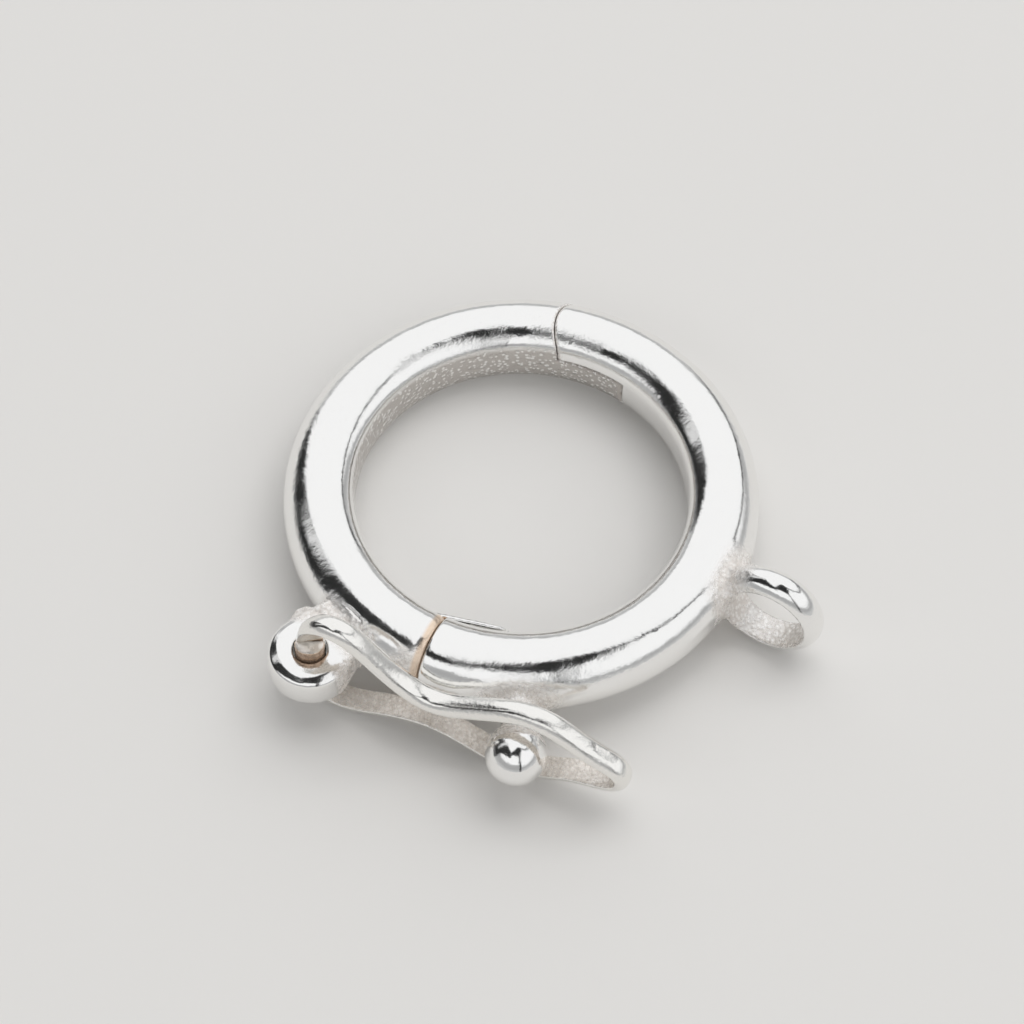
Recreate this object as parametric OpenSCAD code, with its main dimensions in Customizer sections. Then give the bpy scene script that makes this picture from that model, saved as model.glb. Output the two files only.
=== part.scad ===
// Round hinged clasp: a ring in two halves with a half-lap hinge, a ball-ended post
// and a small bail on the fixed half, and a knuckle on the gate half that carries a
// figure-eight safety catch. The catch's outer eye drops over the ball.
// The ring is drawn flat about its own centre, then laid down as it rests.

/* [Ring] */
// Radius of the round opening, where the section is cut flat
hole_r = 5.25; // [5.2:0.05:5.6]
// Radius of the ring's outside
ring_r = 7.5; // [7.4:0.05:7.6]
// Height of the ring's section
ring_h = 2.4; // [2.2:0.1:2.8]
// Width of the section before its inner side is cut flat
section_w = 2.4; // [2.3:0.05:2.6]
// Rounding of the section's corners
section_round = 1.15; // [0.9:0.05:1.15]

/* [Hinge] */
// Direction of the hinge pin, seen from above
hinge_az = 64.8; // [60:0.1:70]
// Radius of the rounded lap ends about the pin
lap_r = 1.65; // [1.5:0.05:1.8]
// Height at which the two laps meet, above the ring's middle
lap_z = 0.3; // [0:0.05:0.5]
// Play between the laps
lap_gap = 0.06; // [0.04:0.01:0.1]
// Radius of the hinge pin
pin_r = 0.4; // [0.3:0.05:0.5]
// Running play of the pin in the gate's lap
pin_play = 0.04; // [0.02:0.01:0.08]
// Metal left over the pin's blind end in the upper lap
pin_cover = 0.3; // [0.2:0.05:0.5]

/* [Opening joint] */
// Direction of the slit where the halves part
slit_az = 244.6; // [240:0.1:248]
// Width of the slit
slit_w = 0.1; // [0.08:0.01:0.2]
// Direction of the end of the gate's locating tongue, a straight leaf
tongue_end_az = 266; // [262:0.5:268]
// Distance of the tongue's inner side from the ring's centre at its end
tongue_end_rho = 5.03; // [4.95:0.01:5.06]
// The same distance where the tongue passes the slit
tongue_slit_rho = 5.09; // [5.03:0.01:5.1]
// Thickness of the tongue
tongue_t = 0.12; // [0.1:0.01:0.13]
// Height of the tongue
tongue_h = 1; // [0.8:0.05:1.1]
// Height of the tongue's upper edge above the ring's middle
tongue_top = 0.45; // [0.35:0.05:0.5]

/* [Knuckle] */
// Distance of the knuckle's axis from the ring's centre
knuckle_rho = 8.82; // [8.75:0.01:8.9]
// Direction of the knuckle, seen from above
knuckle_az = 223.4; // [220:0.1:226]
// Radius at the knuckle's middle
knuckle_r = 1.31; // [1.25:0.01:1.35]
// How much smaller the knuckle is at its ends
knuckle_crown = 0.05; // [0.02:0.01:0.08]
// Height of the knuckle
knuckle_h = 1.34; // [1.2:0.02:1.5]
// Height of the knuckle's top face above the ring's middle
knuckle_top = 0.9; // [0.8:0.05:1]
// Radius of the knuckle's bore
knuckle_bore_r = 0.54; // [0.5:0.01:0.58]
// Width of the solder between the knuckle and the ring
solder_w = 2; // [1.6:0.1:2.2]

/* [Ball and post] */
// Direction of the ball, seen from above
ball_az = 268.9; // [266:0.1:272]
// Distance of the ball's centre from the ring's centre
ball_rho = 9.21; // [9.1:0.01:9.4]
// Radius of the ball
ball_r = 0.93; // [0.85:0.01:1]
// Radius of the post
post_r = 0.5; // [0.4:0.05:0.6]
// Radius and height of the solder foot round the post
foot_r = 0.7; // [0.6:0.05:0.75]
foot_h = 0.15; // [0.1:0.05:0.2]

/* [Bail] */
// Direction of the bail, seen from above
bail_az = -27.2; // [-35:0.1:-20]
// Distance of the bail's centre from the ring's centre
bail_rho = 8.68; // [8.65:0.01:8.75]
// Height of the bail's centre above the ring's middle
bail_z = 0; // [-0.3:0.05:0.1]
// Radius of the bail's eye
bail_eye_r = 1.28; // [1.25:0.01:1.35]
// Thickness of the bail's half-round wire
bail_t = 0.44; // [0.4:0.01:0.5]
// Width of the bail's half-round wire
bail_w = 1.05; // [0.95:0.05:1.1]

/* [Safety catch] */
// Direction in which the catch points when it is shut
catch_az = -21.8; // [-22.5:0.1:-21.5]
// Width of the catch's half-round wire
wire_w = 0.78; // [0.7:0.02:0.8]
// Thickness of the catch's half-round wire
wire_t = 0.4; // [0.35:0.01:0.42]
// Radius of the round pivot that the two wire ends make in the bore
pivot_r = 0.47; // [0.44:0.01:0.48]
// How far the pivot's cut end stands above the knuckle
pivot_proud = 0.42; // [0.3:0.02:0.5]

/* [Rest pose] */
// Lean about X of the ring as it lies
lean_x = -2.32; // [-6:0.01:6]
// Lean about Y of the ring as it lies
lean_y = -0.67; // [-6:0.01:6]
// Where the ring's centre stands from the middle of the clasp's outline
centre_at = [-0.791, 1.346];
// Height of the ring's middle over the surface that the clasp rests on
lift = 1.468; // [0:0.001:4]

/* [Hidden] */
$fn = 96;
// Past every face that a cut has to clear
over = 4;
hinge_rho = (hole_r + ring_r) / 2 + 0.025;
// The catch's flat inner side as [distance from the pivot, height], from the knuckle's
// top out along the upper strand, round the tip and back along the lower strand
CATCH_KNOTS = [
    [0.08, 0.80], [0.06, 1.45], [0.16, 2.02], [0.50, 2.40], [0.95, 2.46], [1.40, 2.24],
    [1.90, 1.74], [2.50, 1.12], [3.10, 0.62], [3.60, 0.34], [4.10, 0.26], [4.60, 0.34],
    [5.20, 0.62], [5.90, 0.98], [6.60, 1.32], [7.25, 1.46], [7.85, 1.34], [8.40, 1.02],
    [8.90, 0.70], [9.40, 0.46], [9.80, 0.28], [10.06, 0.02], [9.98, -0.34], [9.60, -0.54],
    [9.00, -0.64], [8.40, -0.80], [7.80, -1.12], [7.20, -1.36], [6.60, -1.40], [6.00, -1.26],
    [5.30, -0.96], [4.60, -0.68], [3.90, -0.54], [3.20, -0.62], [2.50, -0.82], [1.80, -1.10],
    [1.15, -1.26], [0.60, -1.20], [0.22, -0.92], [0.08, -0.50], [0.08, -0.20]
];
// Arc that a half keeps past the pin before its end is rounded
lap_arc = 22;
// Depth to which the bail's wire runs into the ring
bail_root = 0.4;
// How far the bail's notch in the ring's side runs past the wire on each side
bail_notch = 0.05;
// Depth to which the post and its solder foot run into the ring
post_root = 0.6;
foot_root = 0.25;
// Middle of the knuckle's solder outside the ring's side, and how far it stays within
// the knuckle's lower and upper face
solder_out = 0.3;
solder_low = 0.12;
solder_high = 0.18;
// Length of the pivot under the knuckle
pivot_below = 0.25;
// Fit of the pin in its blind hole, its play at the end, and its lower end within the ring
pin_fit = 0.01;
pin_end_play = 0.02;
pin_sunk = 0.12;
// Length of the tongue's root, from the slit back into the gate
tongue_root = 1.2;
// Steps between two knots, and sides of the wire's rounded face
STEPS = 3;
ROUND_SIDES = 8;

// A ring's rounded section, standing on its radius
module rounded_bar(w, h, r) {
    square([w, h - 2 * r], center = true);
    square([w - 2 * r, h], center = true);
    for (sx = [-1, 1], sy = [-1, 1])
        translate([sx * (w / 2 - r), sy * (h / 2 - r)]) circle(r);
}

module ring_section() {
    difference() {
        translate([ring_r - section_w / 2, 0]) rounded_bar(section_w, ring_h, section_round);
        translate([0, -ring_h]) square([hole_r, 2 * ring_h]);
    }
}

// Half-round wire: its flat side on the Y axis, its round side towards +X
module half_round(w, t) {
    round_r = (w * w / 4 + t * t) / (2 * t);
    intersection() {
        translate([t - round_r, 0]) circle(round_r);
        translate([0, -w / 2]) square([t, w]);
    }
}

module ring_arc(from, arc) {
    rotate(from) rotate_extrude(angle = arc) ring_section();
}

module at_azimuth(az, rho, z = 0) {
    rotate(az) translate([rho, 0, z]) children();
}

module at_rest() {
    translate([centre_at[0], centre_at[1], lift]) rotate([lean_x, lean_y, 0]) children();
}

// The hinge's laps: the gate keeps what lies under the fixed half's lap
module lap_disc(r, low, high) {
    at_azimuth(hinge_az, hinge_rho, low) cylinder(r = r, h = high - low);
}

// What lies past the hinge pin on one side of it, outside a lap's rounded end
module past_lap(side) {
    reach = 2 * over;
    difference() {
        rotate(hinge_az) translate([0, side > 0 ? 0 : -reach, -over]) cube([2 * ring_r, reach, 2 * over]);
        lap_disc(lap_r, -2 * over, 2 * over);
    }
}

module ball_and_post() {
    root = ring_r - post_root;
    at_azimuth(ball_az, 0) rotate([0, 90, 0]) {
        translate([0, 0, root]) cylinder(r = post_r, h = ball_rho - root);
        translate([0, 0, ring_r - foot_root]) cylinder(r1 = foot_r, r2 = post_r, h = foot_h + foot_root);
    }
    at_azimuth(ball_az, ball_rho) sphere(ball_r);
}

module bail() {
    at_azimuth(bail_az, bail_rho, bail_z) rotate([90, 0, 0]) rotate_extrude()
        translate([bail_eye_r, 0]) half_round(bail_w, bail_t);
}

// The eye, filed as a shallow notch into the ring's outer side where it reaches it
module bail_eye() {
    at_azimuth(bail_az, bail_rho, bail_z) rotate([90, 0, 0])
        cylinder(r = bail_eye_r, h = bail_w + 2 * bail_notch, center = true);
}

module fixed_half() {
    color("silver") at_rest() {
        difference() {
            union() {
                ring_arc(slit_az, hinge_az - slit_az + 360 + lap_arc);
                ball_and_post();
            }
            // The slit
            rotate(slit_az) translate([0, -over, -over]) cube([2 * ring_r, over + slit_w / 2, 2 * over]);
            // The upper lap's rounded end
            past_lap(1);
            // Room for the gate's rounded lap, under the upper lap
            lap_disc(lap_r + lap_gap, -over, lap_z + lap_gap / 2);
            // The pin's blind hole
            lap_disc(pin_r, -over, ring_h / 2 - pin_cover);
            bail_eye();
        }
        difference() {
            bail();
            // The bail ends inside the ring's wall
            cylinder(r = ring_r - bail_root, h = 2 * over, center = true);
        }
    }
}

module knuckle() {
    bulge_r = (pow(knuckle_h / 2, 2) + pow(knuckle_crown, 2)) / (2 * knuckle_crown);
    at_azimuth(knuckle_az, knuckle_rho, knuckle_top - knuckle_h) rotate_extrude()
        intersection() {
            square([knuckle_r, knuckle_h]);
            translate([knuckle_r - bulge_r, knuckle_h / 2]) circle(bulge_r, $fn = 360);
        }
}

// Solder that fills the hollow between the knuckle and the ring
module knuckle_solder() {
    at_azimuth(knuckle_az, ring_r + solder_out, knuckle_top - knuckle_h + solder_low)
        cylinder(r = solder_w / 2, h = knuckle_h - solder_low - solder_high);
}

// A straight leaf that runs inside the fixed half's end, past the slit
module locating_tongue() {
    from = tongue_slit_rho * [cos(slit_az), sin(slit_az)];
    to = tongue_end_rho * [cos(tongue_end_az), sin(tongue_end_az)];
    run = to - from;
    translate([from[0], from[1], tongue_top - tongue_h]) rotate(atan2(run[1], run[0]))
        translate([-tongue_root, -tongue_t]) cube([norm(run) + tongue_root, tongue_t, tongue_h]);
}

module gate_half() {
    color("lightgray") at_rest() {
        difference() {
            union() {
                ring_arc(hinge_az - lap_arc, slit_az - hinge_az + lap_arc);
                knuckle();
                knuckle_solder();
            }
            // The slit
            rotate(slit_az) translate([0, -slit_w / 2, -over]) cube([2 * ring_r, over, 2 * over]);
            // The lower lap's rounded end
            past_lap(-1);
            // Room for the fixed half's upper lap
            lap_disc(lap_r + lap_gap, lap_z - lap_gap / 2, over);
            lap_disc(pin_r + pin_play, -over, over);
            at_azimuth(knuckle_az, knuckle_rho) cylinder(r = knuckle_bore_r, h = 2 * over, center = true);
        }
        locating_tongue();
    }
}

module hinge_pin() {
    color("gainsboro") at_rest()
        lap_disc(pin_r - pin_fit, pin_sunk - ring_h / 2, ring_h / 2 - pin_cover - pin_end_play);
}

// A smooth curve through the knots
function spline_point(p, i, t) =
    let (a = p[max(i - 1, 0)], b = p[i], c = p[i + 1], d = p[min(i + 2, len(p) - 1)])
    0.5 * (2 * b + t * (c - a) + t * t * (2 * a - 5 * b + 4 * c - d) + t * t * t * (3 * b - a - 3 * c + d));

function spline_points(p) = concat(
    [for (i = [0 : len(p) - 2], s = [0 : STEPS - 1]) spline_point(p, i, s / STEPS)],
    [p[len(p) - 1]]
);

function unit(v) = v / norm(v);
function tangent(p, i) = unit(p[min(i + 1, len(p) - 1)] - p[max(i - 1, 0)]);

// Half-round section as [out from the flat, across]
WIRE_SECTION = [
    for (k = [0 : ROUND_SIDES]) let (a = -90 + 180 * k / ROUND_SIDES) [wire_t * cos(a), wire_w / 2 * sin(a)]
];

// The wire swept along its flat side, with the round side to the left of the way it runs
module swept_wire(p) {
    sides = len(WIRE_SECTION);
    rings = [for (i = [0 : len(p) - 1])
        let (t = tangent(p, i), left = [-t[1], t[0]])
        for (q = WIRE_SECTION) [p[i][0] + left[0] * q[0], q[1], p[i][1] + left[1] * q[0]]];
    ends = [
        [for (k = [sides - 1 : -1 : 0]) k],
        [for (k = [0 : sides - 1]) (len(p) - 1) * sides + k]
    ];
    walls = [for (i = [0 : len(p) - 2], k = [0 : sides - 1])
        let (a = i * sides + k, b = i * sides + (k + 1) % sides)
        for (f = [[a, b, a + sides], [b, b + sides, a + sides]]) f];
    polyhedron(points = rings, faces = concat(ends, walls));
}

module safety_catch() {
    color("whitesmoke") at_rest() at_azimuth(knuckle_az, knuckle_rho) rotate(catch_az - knuckle_az) {
        swept_wire(spline_points(CATCH_KNOTS));
        low = knuckle_top - knuckle_h - pivot_below;
        translate([0, 0, low]) cylinder(r = pivot_r, h = knuckle_top + pivot_proud - low);
    }
}

fixed_half();
gate_half();
hinge_pin();
safety_catch();
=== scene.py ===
import math

import bpy
import numpy as np
from mathutils import Matrix


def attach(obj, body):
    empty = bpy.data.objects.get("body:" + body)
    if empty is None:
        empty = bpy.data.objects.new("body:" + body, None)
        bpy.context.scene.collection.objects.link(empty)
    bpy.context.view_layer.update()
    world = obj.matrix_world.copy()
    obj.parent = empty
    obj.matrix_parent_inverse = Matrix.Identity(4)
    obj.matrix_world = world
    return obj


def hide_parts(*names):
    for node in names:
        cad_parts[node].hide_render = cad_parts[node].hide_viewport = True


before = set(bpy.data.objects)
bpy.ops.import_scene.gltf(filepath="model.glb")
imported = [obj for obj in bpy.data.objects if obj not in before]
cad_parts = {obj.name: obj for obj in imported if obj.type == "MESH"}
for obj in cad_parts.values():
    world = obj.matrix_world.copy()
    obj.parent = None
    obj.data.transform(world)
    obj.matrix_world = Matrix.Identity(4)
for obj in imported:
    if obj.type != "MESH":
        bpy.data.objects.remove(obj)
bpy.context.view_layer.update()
scene = bpy.context.scene

# Sizes of the clasp
# All are in millimetres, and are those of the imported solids. Shapes are worked out about
# the ring's centre, with the ring flat, and then laid down as the clasp rests. A place
# round the ring is an azimuth in degrees (AZ) and a distance from the centre (RHO). EDGE
# says how rounded an edge is, and FILLET how softly one shape runs into another.
MM = 0.001

# The ring's bar is round, with its inner side cut flat
RING_R = 7.5
RING_H = 2.4
HOLE_R = 5.25
BAR_W = 2.4
BAR_ROUND = 1.15
INNER_EDGE = 0.2

# The hinge: two laps round an upright pin, with their seam at LAP_Z. The pin has a little play
# in the gate and fits the fixed half, which covers its top. Its lower end is sunk.
HINGE_AZ = 64.8
HINGE_RHO = 6.4
LAP_R = 1.65
LAP_Z = 0.3
LAP_GAP = 0.06
LAP_CORNER = 0.02
LAP_EDGE = 0.05
FIXED_HINGE_EDGE = 0.07
PIN_R = 0.4
PIN_PLAY = 0.04
PIN_FIT = 0.01
PIN_COVER = 0.3
PIN_SUNK = 0.12
PIN_BORE_EDGE = 0.03
PIN_SIDES = 48
PIN_TOP_GAP = 0.02
PIN_MATT = 0.3
PIN_STAIN = 0.1

# The slit, its filed edge on the gate, and the tongue that runs past it inside the ring
SLIT_AZ = 244.6
SLIT_W = 0.1
FIXED_SLIT_EDGE = 0.08
GATE_EDGE = 0.05
FILED_SLOPE = (0.93, 0.37)
FILED_DEPTH = 0.09
FILED_EDGE = 0.06
TONGUE_SLIT_RHO = 5.09
TONGUE_END_AZ = 266.0
TONGUE_END_RHO = 5.03
TONGUE_T = 0.12
TONGUE_H = 1.0
TONGUE_TOP = 0.45
TONGUE_ROOT = 1.2
TONGUE_EDGE = 0.02
TONGUE_FILLET = 0.03
# Towards its end its underside rises, its top falls by a share of that rise, and it grows
# thinner by a share. Both start at a share of its length.
TONGUE_RISE = 0.3
TONGUE_FALL = 0.1
TONGUE_RISE_FROM = 0.4
TONGUE_THINNER = 0.7
TONGUE_THIN_FROM = 0.7

# The knuckle, its bevelled rim and the web of solder that joins it to the bar
KNUCKLE_AZ = 223.4
KNUCKLE_RHO = 8.82
KNUCKLE_R = 1.31
KNUCKLE_CROWN = 0.05
KNUCKLE_H = 1.34
KNUCKLE_TOP = 0.9
BARREL_EDGE = 0.04
BARREL_FILLET = 0.2
BORE_R = 0.54
BORE_EDGE = 0.035
RIM_SLOPE = (0.46, 0.89)
RIM_DEPTH = 0.15
RIM_EDGE = 0.1
WEB_R = 1.04
WEB_OUT = 0.3
WEB_INSET = 0.17
WEB_UP = 0.03
WEB_LUMPS = 0.05
WEB_EDGE = 0.15
WEB_FILLET = 0.16
DROP_AT = (-6.62, -4.86, 0.46)
DROP_R = 0.43
DROP_SHAPE = (1, 1, 1.4)
DROP_FILLET = 0.18
SOLDER_TOP = 0.02
SOLDER_TOP_EDGE = 0.02

# The ball on its post, and the collar of solder behind it
BALL_AZ = 268.9
BALL_RHO = 9.21
BALL_R = 0.93
BALL_FILLET = 0.012
POST_R = 0.5
POST_ROOT = 0.6
POST_EDGE = 0.02
POST_FILLET = 0.16
COLLAR_RHO = 9.17
COLLAR_R = 0.94
COLLAR_BACK = 0.27
COLLAR_LUMPS = 0.02
COLLAR_EDGE = 0.04
COLLAR_FILLET = 0.12

# The bail, an upright eye of half-round wire
BAIL_AZ = -27.2
BAIL_RHO = 8.68
BAIL_EYE_R = 1.28
BAIL_T = 0.44
BAIL_W = 1.05
BAIL_EDGE = 0.07
BAIL_ROOT = 0.4
BAIL_FILLET = 0.26
EYE_MARGIN = 0.05
EYE_EDGE = 0.04

# The safety catch: its direction from the knuckle, its wire, and how far its end stands proud
CATCH_AZ = -21.8
WIRE_W = 0.78
WIRE_T = 0.4
PIVOT_PROUD = 0.42

# Solder: its thickness on a seam and the height of its lumps
BAIL_SOLDER = (0.045, 0.06)
POST_SOLDER = (0.02, 0.04)
KNUCKLE_SOLDER = (0.01, 0.11)
SIDE_SOLDER = (0.01, 0.04)
# Where a seam's middle lies, inward or outward of the ring and up
BAIL_SEAM_IN = 0.12
POST_SEAM_IN = 0.1
POST_SEAM_UP = 0.05
KNUCKLE_SEAM_OUT = 0.15
KNUCKLE_SEAM_UP = 0.2
# How deep and wide solder spreads from there: where it is full, where it ends. By the shape's
# share the bail's seam is taller than wide, and the post's wider than tall.
BAIL_SEAM_DEPTH = (0.3, 0.75)
BAIL_SEAM_WIDTH = (0.75, 1.55)
BAIL_SEAM_SHAPE = 0.75
POST_SEAM_DEPTH = (0.2, 0.55)
POST_SEAM_WIDTH = (0.5, 1.1)
POST_SEAM_SHAPE = 0.6
KNUCKLE_SEAM_DEPTH = (0.25, 0.75)
KNUCKLE_SEAM_WIDTH = (0.9, 1.35)
KNUCKLE_SEAM_HEIGHT = (0.75, 1.1)
DROP_SPREAD = (0.02, 0.25)
# The run of solder on the knuckle's side, in degrees about its axis and by its radius
SIDE_START = (80, 92)
SIDE_END = (128, 140)
SIDE_SPREAD = (1.0, 1.25)

# Rest: the lean of the ring's plane, and where the ring's centre lies
LEAN_X = math.radians(-2.32)
LEAN_Y = math.radians(-0.67)
REST = np.array(Matrix.Rotation(LEAN_Y, 3, "Y") @ Matrix.Rotation(LEAN_X, 3, "X"))
CENTRE = np.array([-0.791, 1.346, 1.468])


def at_rest(points):
    """Ring millimetres to metres in the shared frame."""
    return (np.asarray(points, float) @ REST.T + CENTRE) * MM


def turned(direction):
    """A direction at the flat ring, as it points at rest."""
    return np.asarray(direction, float) @ REST.T


def azimuth(degrees):
    """The level direction of an azimuth."""
    angle = math.radians(degrees)
    return np.array([math.cos(angle), math.sin(angle), 0.0])


# Camera
# It was fitted to the flat ring: its height over the ring's plane, its roll, its distance in
# millimetres, and its focal length and the centre's place in pixels of the picture.
ELEVATION = math.radians(56.8)
ROLL = math.radians(0.86)
DISTANCE = 100.0
PICTURE_PX = 1024.0
FOCAL_PX = 3170.0
CENTRE_PX = (521.5, 498.3)
SENSOR_W = 36.0


def add_camera():
    rolled = np.array([[math.cos(ROLL), 0, -math.sin(ROLL)],
                       [0, 1, 0],
                       [math.sin(ROLL), 0, math.cos(ROLL)]])
    right = turned(rolled @ [1, 0, 0])
    up = turned(rolled @ [0, math.sin(ELEVATION), math.cos(ELEVATION)])
    back = turned(rolled @ [0, -math.cos(ELEVATION), math.sin(ELEVATION)])
    eye = at_rest([0, 0, 0]) + back * DISTANCE * MM
    camera = bpy.data.objects.new("camera", bpy.data.cameras.new("camera"))
    scene.collection.objects.link(camera)
    place = np.vstack([np.column_stack([right, up, back, eye]), [0, 0, 0, 1]])
    camera.matrix_world = Matrix(place.tolist())
    camera.data.sensor_width = SENSOR_W
    camera.data.lens = FOCAL_PX * SENSOR_W / PICTURE_PX
    camera.data.shift_x = (PICTURE_PX / 2 - CENTRE_PX[0]) / PICTURE_PX
    camera.data.shift_y = (CENTRE_PX[1] - PICTURE_PX / 2) / PICTURE_PX
    camera.data.clip_start = 0.005
    camera.data.clip_end = 10.0
    scene.camera = camera


add_camera()

# Distance fields
# Each is the distance to a shape's surface in millimetres, negative inside.
TABLE_SIZE = 32
TABLE_SEED = 11
TABLE = np.random.default_rng(TABLE_SEED).uniform(-1.0, 1.0, (TABLE_SIZE, TABLE_SIZE, TABLE_SIZE))
# Layers of lumps in solder, as share, size and shift
LUMP_LAYERS = ((0.55, 0.34, 0.0), (0.3, 0.17, 7.3), (0.15, 0.09, 3.1))
FAR_INSIDE = -9.0


def noise(points, size):
    """Smooth seeded noise from -1 to 1, with lumps of about that size."""
    scaled = points / size
    low = np.floor(scaled).astype(int)
    part = scaled - low
    part = part * part * (3 - 2 * part)
    low &= TABLE_SIZE - 1
    high = (low + 1) & (TABLE_SIZE - 1)
    x0, y0, z0 = low.T
    x1, y1, z1 = high.T
    px, py, pz = part.T
    a = TABLE[x0, y0, z0] * (1 - px) + TABLE[x1, y0, z0] * px
    b = TABLE[x0, y1, z0] * (1 - px) + TABLE[x1, y1, z0] * px
    c = TABLE[x0, y0, z1] * (1 - px) + TABLE[x1, y0, z1] * px
    d = TABLE[x0, y1, z1] * (1 - px) + TABLE[x1, y1, z1] * px
    return (a * (1 - py) + b * py) * (1 - pz) + (c * (1 - py) + d * py) * pz


def lumps(points):
    """Uneven solder, about -1 to 1."""
    return sum(share * noise(points + shift, size) for share, size, shift in LUMP_LAYERS)


def join(a, b, fillet):
    """Both shapes, with a fillet where they meet."""
    share = np.clip(0.5 + 0.5 * (b - a) / fillet, 0, 1)
    return b * (1 - share) + a * share - fillet * share * (1 - share)


def common(a, b, edge):
    """What both shapes hold, with its edge rounded."""
    return -join(-a, -b, edge)


def ramp(value, low, high):
    """Nothing up to low, rising smoothly to one at high."""
    part = np.clip((value - low) / (high - low), 0, 1)
    return part * part * (3 - 2 * part)


def fade(value, low, high):
    """One up to low, falling smoothly to nothing at high."""
    return 1 - ramp(value, low, high)


def local(points, az, rho):
    """Distances outward, along the ring and up from a place on the ring."""
    out = azimuth(az)
    from_place = points - out * rho
    return from_place @ out, from_place @ azimuth(az + 90), from_place[:, 2]


def ring_field(points):
    rho = np.hypot(points[:, 0], points[:, 1])
    across = np.abs(rho - (RING_R - BAR_W / 2)) - (BAR_W / 2 - BAR_ROUND)
    high = np.abs(points[:, 2]) - (RING_H / 2 - BAR_ROUND)
    bar = np.hypot(np.maximum(across, 0), np.maximum(high, 0))
    bar = bar + np.minimum(np.maximum(across, high), 0) - BAR_ROUND
    return common(bar, HOLE_R - rho, INNER_EDGE)


def hinge_cut(points, side):
    """Negative where the half on that side is kept: 1 is the fixed half, -1 the gate."""
    out, along, high = local(points, HINGE_AZ, HINGE_RHO)
    from_pin = np.hypot(out, along)
    lap = np.minimum(side * along, from_pin - LAP_R - LAP_GAP / 4)
    other_lap = common(from_pin - (LAP_R + 0.75 * LAP_GAP), side * (high - LAP_Z) - LAP_GAP / 4, LAP_CORNER)
    return np.where(points @ azimuth(HINGE_AZ) > 0, common(lap, -other_lap, LAP_EDGE), FAR_INSIDE)


def slit_cut(points, side):
    """Negative where the half on that side is kept, with half of a narrow gap at the slit."""
    from_slit = SLIT_W / 4 - side * (points @ azimuth(SLIT_AZ + 90))
    return np.where(points @ azimuth(SLIT_AZ) > 0, from_slit, FAR_INSIDE)


def bail_field(points):
    """The bail, and the distances from its eye's axis, outward and along the ring."""
    out, along, high = local(points, BAIL_AZ, BAIL_RHO)
    radius = np.hypot(out, high)
    wire_r = (BAIL_W ** 2 / 4 + BAIL_T ** 2) / (2 * BAIL_T)
    wire = np.hypot(radius - (BAIL_EYE_R + BAIL_T - wire_r), along) - wire_r
    return common(wire, BAIL_EYE_R - radius, BAIL_EDGE), radius, out, along


def collar_field(points):
    """The solder that holds the ball on its post, a cap behind it."""
    out, along, high = local(points, BALL_AZ, COLLAR_RHO)
    uneven = COLLAR_LUMPS * lumps(points)
    cap = np.sqrt(out ** 2 + along ** 2 + high ** 2) - COLLAR_R - uneven
    return common(cap, out + COLLAR_BACK + uneven, COLLAR_EDGE)


def near_bail(points):
    """One at the bail's soldered root, falling to nothing round it."""
    out, along, high = local(points, BAIL_AZ, RING_R)
    depth = fade(np.abs(out + BAIL_SEAM_IN), *BAIL_SEAM_DEPTH)
    return depth * fade(np.hypot(along, BAIL_SEAM_SHAPE * high), *BAIL_SEAM_WIDTH)


def near_post(points):
    """One at the post's soldered root, falling to nothing round it."""
    out, along, high = local(points, BALL_AZ, RING_R)
    depth = fade(np.abs(out + POST_SEAM_IN), *POST_SEAM_DEPTH)
    return depth * fade(np.hypot(POST_SEAM_SHAPE * along, high - POST_SEAM_UP), *POST_SEAM_WIDTH)


def solder_drop(points):
    """The lump of solder behind the knuckle."""
    return np.sqrt(((points - DROP_AT) ** 2 * DROP_SHAPE).sum(1)) - DROP_R


def near_knuckle(points):
    """One at the knuckle's soldered seam and on the lump behind it."""
    out, along, high = local(points, KNUCKLE_AZ, RING_R + KNUCKLE_SEAM_OUT)
    seam = fade(np.abs(out), *KNUCKLE_SEAM_DEPTH) * fade(np.abs(along), *KNUCKLE_SEAM_WIDTH)
    seam = seam * fade(np.abs(high - KNUCKLE_SEAM_UP), *KNUCKLE_SEAM_HEIGHT)
    return np.maximum(seam, fade(solder_drop(points), *DROP_SPREAD))


def knuckle_side(points):
    """One on the side of the knuckle that the solder ran down."""
    out, along, _ = local(points, KNUCKLE_AZ, KNUCKLE_RHO)
    turn = np.degrees(np.arctan2(along, out))
    run = ramp(turn, *SIDE_START) * fade(turn, *SIDE_END)
    return run * ramp(np.hypot(out, along), *SIDE_SPREAD)


def soldered(body, points, near, thick, lumpy):
    """The body with uneven solder where near says."""
    return body - near * (thick + lumpy * lumps(points))


def pin_bore(points, radius):
    out, along, _ = local(points, HINGE_AZ, HINGE_RHO)
    return np.hypot(out, along) - radius


def post_and_ball(body, points):
    """The fixed half with its post, the collar of solder and the ball joined on."""
    out, along, high = local(points, BALL_AZ, BALL_RHO)
    root = RING_R - POST_ROOT - BALL_RHO
    post = common(np.hypot(along, high) - POST_R, np.maximum(out, root - out), POST_EDGE)
    ball = np.sqrt(out ** 2 + along ** 2 + high ** 2) - BALL_R
    body = join(body, post, POST_FILLET)
    body = join(body, collar_field(points), COLLAR_FILLET)
    return join(body, ball, BALL_FILLET)


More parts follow.
